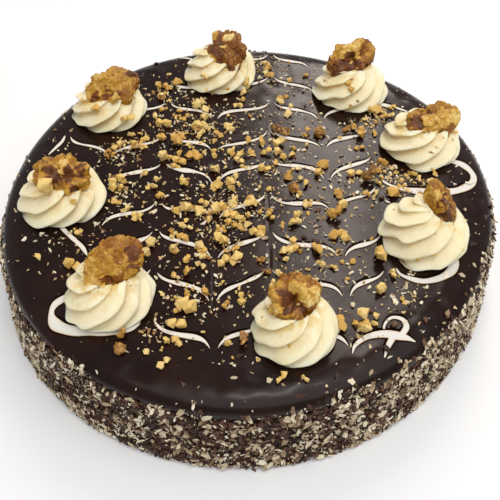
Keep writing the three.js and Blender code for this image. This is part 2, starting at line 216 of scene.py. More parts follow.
# What is strewn over the cake: how many on a square metre that is fully covered, the smallest and
# largest size in metres, how much the small ones prevail, how far they lean in radians, how high
# they ride as a share of their size, and their seed. The names are those of the tree's inputs.
Amounts = namedtuple("Amounts", "Per_square_metre Smallest Largest Size_bias Lean Lift Seed")
STREWN_AMOUNTS = {
    "brown_shavings": Amounts(330000.0, 0.0016, 0.005, 1.5, 0.45, -0.1, 102),
    "beige_flakes": Amounts(520000.0, 0.001, 0.0048, 1.7, 0.5, 0.06, 101),
    "coat_crumb": Amounts(400000.0, 0.0005, 0.0014, 1.2, 1.5, 0.2, 103),
    "foot_crumb": Amounts(700000.0, 0.0006, 0.0019, 1.6, 1.5, 0.3, 106),
    "stray_flakes": Amounts(60000.0, 0.0011, 0.0044, 1.6, 0.35, 0.08, 104),
    "stray_shavings": Amounts(12000.0, 0.002, 0.0055, 1.5, 0.4, 0.08, 105),
    "nut_bits": Amounts(41000.0, 0.0013, 0.005, 2.0, 0.5, 0.18, 62),
    "nut_dust": Amounts(240000.0, 0.0007, 0.0036, 1.8, 0.9, 0.15, 63),
    "rosette_crumbs": Amounts(17000.0, 0.0005, 0.0036, 2.4, 0.7, 0.05, 71),
    "walnut_crumbs": Amounts(30000.0, 0.0003, 0.002, 2.2, 0.8, 0.1, 72),
}

# Where chopped nuts lie thicker: right and back of the axis, spread, and weight.
NUT_DRIFTS = [
    (-31, 44, 14, 0.9), (-10, -18, 12, 1.5), (-14, -44, 11, 0.8), (30, -52, 9, 0.6),
    (72, 10, 9, 1.5), (84, 0, 12, 1.3), (70, 50, 10, 1.6), (-42, 76, 13, 0.8),
    (-68, -6, 11, 1.5), (-84, -32, 8, 1.2), (-66, 24, 10, 0.9), (6, 104, 11, 2.2),
    (70, -70, 9, 0.7), (46, -90, 8, 0.6), (-30, -72, 9, 0.9), (-10, -76, 8, 0.9),
    (-42, -90, 8, 0.6),
]

# Larger nuts that lie on the cream by the walnuts: place, size and turn.
NUTS_ON_CREAM = [
    (-92, -21.5, 60.5, 9.6, 0.4), (-84, -22, 55, 4.6, 2), (-72.8, 47.3, 58.2, 7.5, 1),
    (-81, 45, 54.6, 6.5, 2.2), (-66.3, 43.3, 51.4, 5.5, 0.3), (-1.2, 82, 47.6, 6.5, 1.2),
    (-26, 77.5, 54.2, 4.4, 2), (57.3, 63.4, 58, 5, 0.9),
]

# The nuts that catch the eye on the glaze, picked in two enlarged crops of the photograph:
# the crop's corner in the photograph, its scale, and each nut's place across and down in the
# crop, and its size there.
NutCrop = namedtuple("NutCrop", "left top scale nuts")
NUT_CROPS = [
    NutCrop(100, 60, 10 / 3, [
        (260, 75, 40), (215, 90, 27), (330, 165, 36), (353, 188, 36), (335, 225, 45),
        (250, 245, 42), (265, 280, 38), (155, 262, 30), (75, 290, 30), (110, 288, 28),
        (485, 85, 34), (470, 120, 30), (573, 55, 25), (590, 230, 46), (735, 240, 46),
        (545, 275, 30), (600, 290, 36), (610, 320, 28), (602, 140, 28), (910, 185, 42),
        (865, 235, 36), (500, 305, 28), (255, 328, 34), (435, 430, 44), (445, 464, 38),
        (285, 415, 30), (190, 410, 30), (40, 426, 36), (45, 470, 28), (90, 495, 28),
        (120, 520, 26), (645, 432, 52), (685, 415, 26), (810, 440, 36), (890, 400, 50),
        (975, 450, 46), (935, 350, 32), (395, 500, 46), (432, 518, 40), (465, 525, 40),
        (430, 548, 34), (515, 480, 38), (495, 548, 34), (512, 580, 40), (305, 510, 48),
        (262, 500, 40), (655, 542, 36), (757, 498, 32), (420, 605, 44), (460, 655, 48),
        (187, 622, 50), (240, 628, 30), (280, 590, 40), (285, 717, 36), (335, 690, 26),
        (330, 635, 26), (820, 590, 38), (732, 632, 46), (657, 612, 32), (615, 660, 28),
        (775, 690, 22), (535, 675, 26), (928, 645, 52), (270, 812, 62), (237, 870, 46),
        (352, 785, 32), (472, 788, 36), (950, 765, 46), (885, 862, 56), (810, 890, 42),
    ]),
    NutCrop(60, 300, 5, [
        (300, 240, 80), (1115, 372, 62), (500, 312, 52), (845, 212, 50), (918, 202, 72),
        (605, 180, 50), (302, 182, 50), (600, 222, 34), (1225, 410, 34),
    ]),
]


# --- The cake's form -------------------------------------------------------------------------

def wave_sum(waves, angle):
    """Sum of the waves round the cake, at an angle in radians."""
    return sum(size * np.cos(lobes * (angle - math.radians(at))) for lobes, size, at in waves)


def polar(radius, angle, height):
    """Points from their radius, angle and height."""
    return np.stack(np.broadcast_arrays(
        radius * np.cos(angle), radius * np.sin(angle), height,
    ), -1).astype(float)


def turns(count):
    """Angles in even steps, all the way round."""
    return np.arange(count) / count * 2 * math.pi


def smooth_step(low, high, value):
    """0 below low and 1 above high, with a soft passage between them."""
    share = np.clip((value - low) / (high - low), 0, 1)
    return share * share * (3 - 2 * share)


def ripples(points, size, seed, count=20):
    """A smooth random field over points, about -1 to 1, with lumps of a size."""
    draw = np.random.default_rng(seed)
    ways = draw.normal(size=(count, points.shape[-1]))
    ways *= (2 * math.pi / size * draw.uniform(0.6, 1.4, count)
             / np.linalg.norm(ways, axis=1))[:, None]
    phases = draw.uniform(0, 2 * math.pi, count)
    return np.sin(points @ ways.T + phases).sum(-1) / math.sqrt(count)


def glaze_radius(angle):
    """Radius of the glaze where its side is upright."""
    return GLAZE_RADIUS * (1 + wave_sum(OUTLINE_WAVES, angle))


def hem_height(angle):
    """Height of the lower edge of the glaze."""
    return CAKE_HEIGHT - GLAZE_DROP - wave_sum(HEM_WAVES, angle)


def side_radius(angle, height):
    """Radius of the flake coat: widest at the foot."""
    rise = np.minimum(height / hem_height(angle), 1)
    radius = COAT_RADIUS + (FOOT_RADIUS - COAT_RADIUS) * (1 - rise) ** 1.5
    return radius * (1 + wave_sum(OUTLINE_WAVES, angle))


def drag_place(line, y):
    """Where a drag line runs at a distance to the back, with a slight wander."""
    return line.across + line.lean * y + 0.6 * np.sin(y / 17 + line.across)


def glaze_relief(x, y):
    """Unevenness of the poured top: slow swells, a shallow dome between two drag lines, and the
    furrow and lips that each drag left."""
    place = np.stack([x, y], -1)
    rough_corner = np.exp(-((x - 28) / 22) ** 2 - ((y - 80) / 26) ** 2)
    height = 0.10 * ripples(place, 55, 3) + 0.03 * ripples(place, 16, 4)
    height = height + rough_corner * 0.16 * ripples(place, 13, 5)
    depth = smooth_step(-0.2, 1.3, ripples(place, 26, 6))
    for line in DRAG_LINES:
        away = x - drag_place(line, y)
        height = height - 0.025 * np.exp(-(away / 4) ** 2)
        height = height - 0.09 * depth * np.exp(-(away / 0.75) ** 2)
        height = height + 0.03 * depth * np.exp(-((np.abs(away) - 1.6) / 0.8) ** 2)
    return height


def glaze_height(x, y):
    """Height of the glaze over a place on top, out to where its side is upright. The glaze set
    in low lumps as it ran over the shoulder."""
    angle = np.arctan2(y, x)
    over = np.hypot(x, y) - glaze_radius(angle) + SHOULDER_WIDTH
    bend = np.clip(over / SHOULDER_WIDTH, 0, 1)
    drop = SHOULDER_DROP * (1 - np.sqrt(1 - bend ** 2))
    lumps = 0.22 * ripples(np.stack([x, y], -1), 12, 7) * np.exp(-((over - 3) / 5.5) ** 2)
    return CAKE_HEIGHT - drop + (glaze_relief(x, y) + lumps) * (1 - bend ** 2)


def glaze_share(angle, share):
    """Points on the glaze: share runs from 0 in the middle to 1 where the side is upright."""
    inner = glaze_radius(angle) - SHOULDER_WIDTH
    bend = np.clip((share - FLAT_SHARE) / (1 - FLAT_SHARE), 0, 1)
    radius = inner * np.minimum(share / FLAT_SHARE, 1) + SHOULDER_WIDTH * np.sin(bend * math.pi / 2)
    x = radius * np.cos(angle)
    y = radius * np.sin(angle)
    return np.stack([x, y, glaze_height(x, y)], -1)


def clear_of_rosettes(x, y, margin):
    """Whether a place on top lies clear of every rosette, by a margin."""
    clear = np.ones(np.shape(x), bool)
    for rosette in ROSETTES:
        foot = polar(rosette.reach, math.radians(rosette.bearing), 0)
        clear &= np.hypot(x - foot[0], y - foot[1]) > rosette.radius * 1.06 + margin
    return clear


def sight(across, down):
    """The way from the camera towards a pixel of the photograph, one millimetre deep."""
    cosine = math.cos(math.radians(LOOK_DOWN))
    sine = math.sin(math.radians(LOOK_DOWN))
    right = (across - IMAGE_WIDTH / 2) / FOCAL_LENGTH
    up = (IMAGE_WIDTH / 2 - down) / FOCAL_LENGTH
    return np.array([right, cosine + up * sine, up * cosine - sine])


def axis_offset():
    """Where the cake's axis stands in the frame: the part was centred by its own box."""
    angle = turns(PART_COLUMNS)
    outline = polar(glaze_radius(angle), angle, 0)
    lowest, highest = (np.array(corner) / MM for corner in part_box("ganache"))
    offset = (lowest + highest) / 2 - (outline.min(0) + outline.max(0)) / 2
    return np.array([offset[0], offset[1], 0])


AXIS = axis_offset()


# --- Meshes ----------------------------------------------------------------------------------

def in_scene(name, data):
    """A new object in the scene."""
    made = bpy.data.objects.new(name, data)
    bpy.context.scene.collection.objects.link(made)
    return made


def new_object(name, points, faces, material=None, smooth=True, **attributes):
    """A mesh object from points in millimetres, with one number per point for each attribute."""
    mesh = bpy.data.meshes.new(name)
    mesh.from_pydata(((points + AXIS) * MM).tolist(), [], faces)
    if smooth:
        mesh.shade_smooth()
    if material:
        mesh.materials.append(material)
    for label, values in attributes.items():
        layer = mesh.attributes.new(label, "FLOAT", "POINT")
        layer.data.foreach_set("value", np.asarray(values, np.float32).ravel())
    return in_scene(name, mesh)


def ring_faces(rows, columns):
    """Quads between closed rings of points, row after row, that face outwards."""
    row, column = np.mgrid[0:rows - 1, 0:columns]
    after = (column + 1) % columns
    quads = np.stack([
        row * columns + column, row * columns + after,
        (row + 1) * columns + after, (row + 1) * columns + column,
    ], -1)
    return quads.reshape(-1, 4).tolist()


def closed_rings(rings, first_pole, last_pole):
    """Points and faces of a closed shell: rings from below outwards and up, between two poles."""
    rows, columns = rings.shape[:2]
    points = np.concatenate([rings.reshape(-1, 3), [first_pole, last_pole]])
    faces = ring_faces(rows, columns)
    low, high = rows * columns, rows * columns + 1
    top = (rows - 1) * columns
    for column in range(columns):
        after = (column + 1) % columns
        faces.append([low, after, column])
        faces.append([top + column, top + after, high])
    return points, faces


def joined(parts):
    """Points and faces of several meshes as one."""
    points = []
    faces = []
    first = 0
    for part_points, part_faces in parts:
        points.append(part_points)
        faces += [[corner + first for corner in face] for face in part_faces]
        first += len(part_points)
    return np.concatenate(points), faces


def smooth_through(knots, shares):
    """Values on a smooth curve through knots, at places from 0 to the number of spans."""
    knots = np.asarray(knots, float)
    padded = np.concatenate([[2 * knots[0] - knots[1]], knots, [2 * knots[-1] - knots[-2]]])
    span = np.clip(np.floor(shares).astype(int), 0, len(knots) - 2)
    t = (shares - span)[:, None]
    a, b, c, d = (padded[span + step] for step in range(4))
    return 0.5 * (
        2 * b + (c - a) * t + (2 * a - 5 * b + 4 * c - d) * t ** 2
        + (3 * b - a - 3 * c + d) * t ** 3
    )


def make_plain(made):
    """Turns an object's modifiers into its plain mesh."""
    graph = bpy.context.evaluated_depsgraph_get()
    mesh = bpy.data.meshes.new_from_object(made.evaluated_get(graph), depsgraph=graph)
    made.modifiers.clear()
    made.data = mesh


def keep_off_floor(made):
    """Presses flat whatever of a mesh would reach below the foot."""
    places = np.zeros(len(made.data.vertices) * 3, np.float32)
    made.data.vertices.foreach_get("co", places)
    places[2::3] = np.maximum(places[2::3], LOWEST * MM)
    made.data.vertices.foreach_set("co", places)
    made.data.update()


# --- Trees of nodes --------------------------------------------------------------------------

def add(tree, kind, inputs=None, **settings):
    """A node in a tree, with its settings. Each input is a value or another node's output."""
    node = tree.nodes.new(kind)
    for name, value in settings.items():
        setattr(node, name, value)
    for name, value in (inputs or {}).items():
        if isinstance(value, bpy.types.NodeSocket):
            tree.links.new(value, node.inputs[name])
        else:
            node.inputs[name].default_value = value
    return node


def new_tree(name, kind, inputs, outputs):
    """A group of nodes with named inputs and outputs: name to socket kind, or to a number."""
    tree = bpy.data.node_groups.new(name, kind)
    for label, socket in inputs.items():
        number = isinstance(socket, (int, float))
        made = tree.interface.new_socket(
            label, in_out="INPUT", socket_type="NodeSocketFloat" if number else socket,
        )
        if number:
            made.default_value = socket
    for label, socket in outputs.items():
        tree.interface.new_socket(label, in_out="OUTPUT", socket_type=socket)
    return tree, tree.nodes.new("NodeGroupInput").outputs, tree.nodes.new("NodeGroupOutput").inputs


def use_tree(made, tree, **values):
    """Puts a tree of geometry nodes on an object, with its inputs by name."""
    modifier = made.modifiers.new(tree.name, "NODES")
    modifier.node_group = tree
    for item in tree.interface.items_tree:
        label = item.name.replace(" ", "_")
        if item.in_out == "INPUT" and label in values:
            modifier[item.identifier] = values[label]


def calculated(tree, operation, first, second=0.0):
    """The result of a sum on two numbers."""
    return add(tree, "ShaderNodeMath", {0: first, 1: second}, operation=operation).outputs[0]


def ranged(tree, value, low, high, start=0.0, end=1.0):
    """A value that runs from start to end, made to run from low to high."""
    return add(tree, "ShaderNodeMapRange", {
        "Value": value, "From Min": start, "From Max": end, "To Min": low, "To Max": high,
    }).outputs[0]


def random_between(tree, low, high, seed, step):
    """A random number for each point, between two numbers. Each step gives other numbers."""
    stepped = calculated(tree, "ADD", seed, step)
    node = add(tree, "FunctionNodeRandomValue", {2: low, 3: high, 8: stepped}, data_type="FLOAT")
    return node.outputs[1]


def mesh_number(tree, label):
    """A number that the mesh keeps at each point, in a tree of geometry nodes."""
    node = add(tree, "GeometryNodeInputNamedAttribute", {"Name": label}, data_type="FLOAT")
    return node.outputs[0]


def leaning(tree, lean, seed, turn):
    """The rotation of a piece: turned by an angle, and leaning a little to either side."""
    lean_back = calculated(tree, "MULTIPLY", lean, -1.0)
    tilt = add(tree, "ShaderNodeCombineXYZ", {
        "X": random_between(tree, lean_back, lean, seed, 1.0),
        "Y": random_between(tree, lean_back, lean, seed, 2.0),
        "Z": turn,
    })
    return add(tree, "FunctionNodeEulerToRotation", {"Euler": tilt.outputs[0]}).outputs[0]


def one_at_each(tree, points, shapes, rotation, size):
    """One of the shapes at each point."""
    kept = add(tree, "GeometryNodeCollectionInfo", {
        "Collection": shapes, "Separate Children": True, "Reset Children": True,
    })
    return add(tree, "GeometryNodeInstanceOnPoints", {
        "Points": points, "Instance": kept.outputs[0], "Pick Instance": True,
        "Rotation": rotation, "Scale": size,
    }).outputs[0]


def finished_pieces(tree, instances, material, shade, result):
    """Gives each placed piece its own shade, then makes them one mesh with their finish."""
    shaded = add(tree, "GeometryNodeStoreNamedAttribute", {
        "Geometry": instances, "Name": "shade", "Value": shade,
    }, data_type="FLOAT", domain="INSTANCE")
    real = add(tree, "GeometryNodeRealizeInstances", {"Geometry": shaded.outputs[0]})
    done = add(tree, "GeometryNodeSetMaterial", {
        "Geometry": real.outputs[0], "Material": material,
    })
    tree.links.new(done.outputs[0], result)


def scatter_tree():
    """Strews shapes over a surface. They lie along it, lean a little, and keep a shade each."""
    tree, given, result = new_tree("strewn pieces", "GeometryNodeTree", {
        "Surface": "NodeSocketGeometry",
        "Shapes": "NodeSocketCollection",
        "Finish": "NodeSocketMaterial",
        "Per square metre": 1000.0,
        "Smallest": 0.001,
        "Largest": 0.002,
        "Size bias": 1.0,
        "Lean": 0.3,
        "Lift": 0.0,
        "Seed": "NodeSocketInt",
    }, {"Strewn": "NodeSocketGeometry"})
    seed = given["Seed"]
    density = calculated(tree, "MULTIPLY", given["Per square metre"], mesh_number(tree, "cover"))
    spread = add(tree, "GeometryNodeDistributePointsOnFaces", {
        "Mesh": given["Surface"], "Density": density, "Seed": seed,
    })
    turn = random_between(tree, 0.0, 2 * math.pi, seed, 3.0)
    turned = add(tree, "FunctionNodeRotateRotation", {
        "Rotation": spread.outputs["Rotation"],
        "Rotate By": leaning(tree, given["Lean"], seed, turn),
    }, rotation_space="LOCAL")
    chance = calculated(
        tree, "POWER", random_between(tree, 0.0, 1.0, seed, 4.0), given["Size bias"],
    )
    size = ranged(tree, chance, given["Smallest"], given["Largest"])
    placed = one_at_each(tree, spread.outputs["Points"], given["Shapes"], turned.outputs[0], size)
    lift = add(tree, "ShaderNodeCombineXYZ", {"Z": given["Lift"]})
    lifted = add(tree, "GeometryNodeTranslateInstances", {
        "Instances": placed, "Translation": lift.outputs[0],
    })
    shade = random_between(tree, 0.0, 1.0, seed, 5.0)
    finished_pieces(tree, lifted.outputs[0], given["Finish"], shade, result["Strewn"])
    return tree


def placed_tree():
    """Sets shapes on given points, each with its own size and turn."""
    tree, given, result = new_tree("placed pieces", "GeometryNodeTree", {
        "Places": "NodeSocketGeometry",
        "Shapes": "NodeSocketCollection",
        "Finish": "NodeSocketMaterial",
        "Lean": 0.3,
        "Seed": "NodeSocketInt",
    }, {"Placed": "NodeSocketGeometry"})
    seed = given["Seed"]
    points = add(tree, "GeometryNodeMeshToPoints", {"Mesh": given["Places"]})
    rotation = leaning(tree, given["Lean"], seed, mesh_number(tree, "turn"))
    placed = one_at_each(
        tree, points.outputs[0], given["Shapes"], rotation, mesh_number(tree, "size"),
    )
    shade = random_between(tree, 0.0, 1.0, seed, 3.0)
    finished_pieces(tree, placed, given["Finish"], shade, result["Placed"])
    return tree


def relief_tree():
    """Moves a surface in and out along its normals, by a lumpy pattern."""
    tree, given, result = new_tree("fine relief", "GeometryNodeTree", {
        "Surface": "NodeSocketGeometry",
        "Height": 0.0001,
        "Lumps per metre": 500.0,
        "Seed": 0.0,
    }, {"Relief": "NodeSocketGeometry"})
    noise = add(tree, "ShaderNodeTexNoise", {
        "W": given["Seed"], "Scale": given["Lumps per metre"], "Detail": 2.0,
    }, noise_dimensions="4D")
    signed = calculated(tree, "SUBTRACT", noise.outputs[0], 0.5)
    height = calculated(tree, "MULTIPLY", signed, given["Height"])
    normal = add(tree, "GeometryNodeInputNormal")
    offset = add(tree, "ShaderNodeVectorMath", {
        0: normal.outputs[0], "Scale": height,
    }, operation="SCALE")
    moved = add(tree, "GeometryNodeSetPosition", {
        "Geometry": given["Surface"], "Offset": offset.outputs[0],
    })
    tree.links.new(moved.outputs[0], result["Relief"])
    return tree


STREWN = scatter_tree()
PLACED = placed_tree()
RELIEF = relief_tree()


# --- Shared effects of the finishes ----------------------------------------------------------

def surface_noise(tree, size, roughness):
    """Noise over the places of a piece, with lumps of a size."""
    place = add(tree, "ShaderNodeTexCoord")
    return add(tree, "ShaderNodeTexNoise", {
        "Vector": place.outputs["Object"], "Scale": calculated(tree, "DIVIDE", 1.0, size),
        "Detail": 3.0, "Roughness": roughness,
    }).outputs[0]


def mottle_group():
    """A soft random mask over the surface."""
    tree, given, result = new_tree("mottle", "ShaderNodeTree", {
        "Patch size": 0.01, "Softness": 0.3, "Level": 0.5,
    }, {"Mask": "NodeSocketFloat"})
    mask = add(tree, "ShaderNodeMapRange", {
        "Value": surface_noise(tree, given["Patch size"], 0.6),
        "From Min": calculated(tree, "SUBTRACT", given["Level"], given["Softness"]),
        "From Max": calculated(tree, "ADD", given["Level"], given["Softness"]),
    }, interpolation_type="SMOOTHSTEP")
    tree.links.new(mask.outputs[0], result["Mask"])
    return tree


def grain_group():
    """The fine grain of a surface, as a normal."""
    tree, given, result = new_tree("grain", "ShaderNodeTree", {
        "Grain size": 0.001, "Depth": 0.0001,
    }, {"Normal": "NodeSocketVector"})
    bump = add(tree, "ShaderNodeBump", {
        "Height": surface_noise(tree, given["Grain size"], 0.55), "Distance": given["Depth"],
    })
    tree.links.new(bump.outputs[0], result["Normal"])
    return tree


MOTTLE = mottle_group()
GRAIN = grain_group()


def mottle(tree, patch, softness=0.15, level=0.5):
    """A mask from the shared mottle, with patches of a size in millimetres."""
    values = {"Patch size": patch * MM, "Softness": softness, "Level": level}
    return add(tree, "ShaderNodeGroup", values, node_tree=MOTTLE).outputs[0]


def grain(tree, size, depth):
    """A normal from the shared grain, with its size and depth in millimetres."""
    values = {"Grain size": size * MM, "Depth": depth * MM}
    return add(tree, "ShaderNodeGroup", values, node_tree=GRAIN).outputs[0]


def shown(colour):
    """A colour of 0 to 255 as it shows, as the light values that a shader takes."""
    return [
        (part / 255 / 12.92 if part <= 10 else ((part / 255 + 0.055) / 1.055) ** 2.4)
        for part in colour
    ] + [1]


def painted(tree, share, *colours):
    """A colour along a row of colours, by a share from 0 to 1."""
    ramp = add(tree, "ShaderNodeValToRGB", {0: share})
    stops = ramp.color_ramp.elements
    for index, (position, colour) in enumerate(colours):
        stop = stops[index] if index < 2 else stops.new(position)
        stop.position = position
        stop.color = shown(colour)
    return ramp.outputs[0]


def blended(tree, share, first, second):
    """Two colours blended by a share: 0 gives the first."""
    first, second = (colour if isinstance(colour, bpy.types.NodeSocket) else shown(colour)
                     for colour in (first, second))
    mix = add(tree, "ShaderNodeMix", {0: share, 6: first, 7: second}, data_type="RGBA")
    return mix.outputs[2]


def per_point(tree, label):
    """A number that the mesh keeps at each point, in a material."""
    return add(tree, "ShaderNodeAttribute", attribute_name=label).outputs["Fac"]


def finish(name, roughness, **sockets):
    """A new material with its own shader; sockets are set on the shader itself."""
    material = bpy.data.materials.new(name)
    material.use_nodes = True
    shader = material.node_tree.nodes["Principled BSDF"]
    shader.inputs["Roughness"].default_value = roughness
    for label, value in sockets.items():
        shader.inputs[label.replace("_", " ")].default_value = value
    return material, material.node_tree


def connected(material, **sources):
    """A material with what feeds its shader connected to the sockets named."""
    tree = material.node_tree
    for label, source in sources.items():
        tree.links.new(source, tree.nodes["Principled BSDF"].inputs[label.replace("_", " ")])
    return material


def poured_glaze():
    """Dark chocolate glaze: near black, brown where it is thin, satin with faint smears."""
    material, tree = finish("poured dark glaze", 0.2, Specular_IOR_Level=0.18)
    return connected(
        material,
        Base_Color=blended(tree, mottle(tree, 26), (27, 13, 10), (36, 19, 14)),
        Roughness=ranged(tree, mottle(tree, 9), 0.19, 0.25),
        Normal=grain(tree, 2.2, 0.02),
    )


def white_icing():
    """White icing, a see-through brown edge at the glaze, and a rim of painted dark reflection."""
    material, tree = finish("white icing", 0.26, Specular_IOR_Level=0.03)
    colour = painted(
        tree, per_point(tree, "rim"),
        (0, (222, 218, 210)), (0.4, (212, 204, 186)), (0.5, (168, 116, 62)), (0.66, (92, 50, 22)),
        # Near black past the see-through brown edge: painted dark reflection on the glaze slope.
        (0.85, (26, 12, 8)), (1, (10, 5, 4)),
    )
    return connected(
        material, Base_Color=colour,
        Roughness=ranged(tree, per_point(tree, "rim"), 0.26, 0.85, 0.4, 0.8),
        Normal=grain(tree, 1.2, 0.03),
    )


def piped_cream():
    """Pale cream with painted shade in the furrows, and tan stains of nut oil by the walnut."""
    material, tree = finish(
        "piped cream", 0.45, Specular_IOR_Level=0.4, Subsurface_Weight=0.5,
        Subsurface_Scale=0.004, Subsurface_Radius=(1, 0.8, 0.5),
    )
    body = blended(tree, mottle(tree, 14), (246, 236, 202), (240, 227, 186))
    # Painted shade: the cream turns a darker tan deep in the furrows.
    furrow_shaded = blended(tree, per_point(tree, "furrow"), body, (222, 200, 146))
    oily = calculated(tree, "MULTIPLY", mottle(tree, 5, 0.05, 0.52), per_point(tree, "stain"))
    colour = blended(tree, oily, furrow_shaded, (222, 184, 96))
    return connected(material, Base_Color=colour, Normal=grain(tree, 0.9, 0.05))


def walnut_kernel():
    """Walnut: pale to golden flesh, golden to dark brown skin, and darker in the folds."""
    material, tree = finish(
        "walnut kernel", 0.36, Specular_IOR_Level=0.35, Subsurface_Weight=0.08,
        Subsurface_Scale=0.002, Subsurface_Radius=(1, 0.6, 0.2),
    )
    broad, fine = (ranged(tree, mottle(tree, patch, softness), -0.1, 0.1)
                   for patch, softness in ((3.2, 0.25), (0.9, 0.2)))
    wander = calculated(tree, "ADD", broad, fine)
    colour = painted(
        tree, calculated(tree, "ADD", per_point(tree, "tone"), wander),
        (0, (240, 216, 154)), (0.16, (220, 180, 92)), (0.32, (190, 140, 42)),
        (0.55, (154, 98, 22)), (0.8, (122, 68, 17)), (1, (84, 44, 12)),
    )
    deep = blended(tree, per_point(tree, "fold"), colour, (92, 50, 16))
    return connected(material, Base_Color=deep, Normal=grain(tree, 0.7, 0.3))


def chopped_nut():
    """Chopped nut: golden to cream by the piece, a few with brown skin."""
    material, tree = finish(
        "chopped nut", 0.5, Subsurface_Weight=0.1, Subsurface_Scale=0.0015,
        Subsurface_Radius=(1, 0.7, 0.3),
    )
    piece = painted(
        tree, per_point(tree, "shade"),
        (0, (96, 56, 24)), (0.05, (158, 106, 42)), (0.15, (210, 162, 76)), (0.5, (230, 192, 104)),
        (1, (242, 218, 150)),
    )
    worn = blended(tree, mottle(tree, 1.6, 0.2, 0.58), piece, (208, 162, 80))
    return connected(material, Base_Color=worn, Normal=grain(tree, 0.7, 0.35))


def nut_dust():
    """Dust and splinters of the nuts: pale cream to tan."""
    material, tree = finish("nut dust", 0.6)
    piece = painted(
        tree, per_point(tree, "shade"),
        (0, (130, 92, 52)), (0.2, (196, 164, 112)), (0.55, (222, 202, 158)), (1, (236, 228, 204)),
    )
    return connected(material, Base_Color=piece, Normal=grain(tree, 0.4, 0.08))


def chocolate_flake(name, *colours):
    """Dry chocolate flakes, in the colours given."""
    material, tree = finish(name, 0.55, Specular_IOR_Level=0.3)
    worn = add(tree, "ShaderNodeHueSaturation", {
        "Color": painted(tree, per_point(tree, "shade"), *colours),
        "Value": ranged(tree, mottle(tree, 1.3, 0.25), 0.8, 1.12),
    })
    return connected(material, Base_Color=worn.outputs[0], Normal=grain(tree, 0.5, 0.12))


def cake_crumb():
    """The dark crumbly coat under the flakes."""
    material, tree = finish("dark cake crumb", 0.8, Specular_IOR_Level=0.2)
    colour = painted(
        tree, mottle(tree, 3, 0.25), (0, (38, 23, 18)), (0.5, (70, 45, 35)), (1, (98, 68, 52)),
    )
    return connected(material, Base_Color=colour, Normal=grain(tree, 0.8, 0.4))


def pale_floor():
    """A plain pale floor."""
    material, tree = finish("pale floor", 0.7)
    colour = blended(tree, mottle(tree, 400), (243, 243, 243), (240, 240, 240))
    return connected(material, Base_Color=colour)


# --- Putting pieces on the frame -------------------------------------------------------------

def serve(made, slot, *nodes):
    """A finished piece rides on the cake's only body, in place of its nodes; slot is not used."""
    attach(made, "root")
    if nodes:
        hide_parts(*nodes)


# --- Cake, glaze and icing -------------------------------------------------------------------

def cake_core():
    """The cake under its flakes: a rough dark side, closed below and under the glaze."""
    angle = turns(640)
    rim = hem_height(angle) - PIECE_GAP
    foot_height = 0.05
    under_flakes = 0.9       # how deep the side lies in the coat
    foot_inset = 3.5
    ledge_inset = 2.2
    side = [polar(side_radius(angle, share * rim) - under_flakes, angle, share * rim)
            for share in np.linspace(0.05, 0.97, 46)]
    foot = [polar(side_radius(angle, 0) - foot_inset, angle, foot_height)]
    ledge = [
        polar(side_radius(angle, rim) - ledge_inset, angle, rim),
        polar(glaze_radius(angle) - GLAZE_THICKNESS - PIECE_GAP, angle, rim),
        polar(glaze_radius(angle) - SHOULDER_WIDTH, angle,
              CAKE_HEIGHT - GLAZE_THICKNESS - PIECE_GAP - 0.6),
    ]
    rings = np.array(foot + side + ledge)
    points, faces = closed_rings(rings, (0, 0, foot_height), (0, 0, rings[-1][0][2]))
    made = new_object("cake_core", points, faces, cake_crumb())
    use_tree(made, RELIEF, Height=0.0026, Lumps_per_metre=260.0, Seed=1.0)
    use_tree(made, RELIEF, Height=0.0016, Lumps_per_metre=720.0, Seed=2.0)
    make_plain(made)
    keep_off_floor(made)
    serve(made, "flake_coat", "cake_body")


def glaze_skin():
    """The poured glaze: its dragged top, the rounded shoulder and the hem that hangs down."""
    angle = turns(750)
    outer = glaze_radius(angle)
    upright = CAKE_HEIGHT - SHOULDER_DROP
    underside = CAKE_HEIGHT - GLAZE_THICKNESS
    hem = hem_height(angle)
    below = [
        polar(outer - SHOULDER_WIDTH, angle, underside),
        polar(outer - GLAZE_THICKNESS, angle, hem + 0.6),
    ]
    hem_turns = [
        polar(outer - 2.4, angle, hem), polar(outer - 0.9, angle, hem - 0.05),
        polar(outer + 0.1, angle, hem + 0.5), polar(outer + 0.15, angle, (hem + upright) / 2),
    ]
    shoulder_shares = 1 - (1 - FLAT_SHARE) * np.linspace(0, 1, 14)[:-1] ** 1.3
    flat_shares = np.linspace(FLAT_SHARE, 0.006, 112)
    top = [glaze_share(angle, share) for share in np.concatenate([shoulder_shares, flat_shares])]
    rings = np.array(below + hem_turns + top)
    points, faces = closed_rings(rings, (0, 0, underside), (0, 0, rings[-1][:, 2].mean()))
    serve(new_object("poured_glaze", points, faces, poured_glaze()), "glaze", "ganache")


def dragged_row(row, x):
    """How far back a piped row lies, after the drags pulled it to and fro."""
    y = row.middle + row.rise * x
    pulled = np.zeros_like(x)
    for number, line in enumerate(DRAG_LINES):
        away = np.abs(x - drag_place(line, y))
        strength = 1 + 0.25 * math.sin(3.1 * number + row.middle)
        for pull, reach in DRAG_PULLS:
            pulled = pulled + line.way * strength * pull * np.exp(-away / reach)
    wander = 0.9 * ripples(np.stack([x, y], -1), 40, 8)
    return y + pulled + wander


def icing_width(line, full, from_cut):
    """Widths of a stroke: uneven, and thinning towards the point where a drag cut it."""
    uneven = 1 + 0.22 * ripples(line, 13, 9)
    return full * uneven * (1 - np.exp(-from_cut / 3.6))


def panel_steps(left, right):
    """Places between two drag lines, closer together near both."""
    share = np.linspace(0, 1, 56)
    return left + (right - left) * (share - 0.85 * np.sin(2 * math.pi * share) / (2 * math.pi))


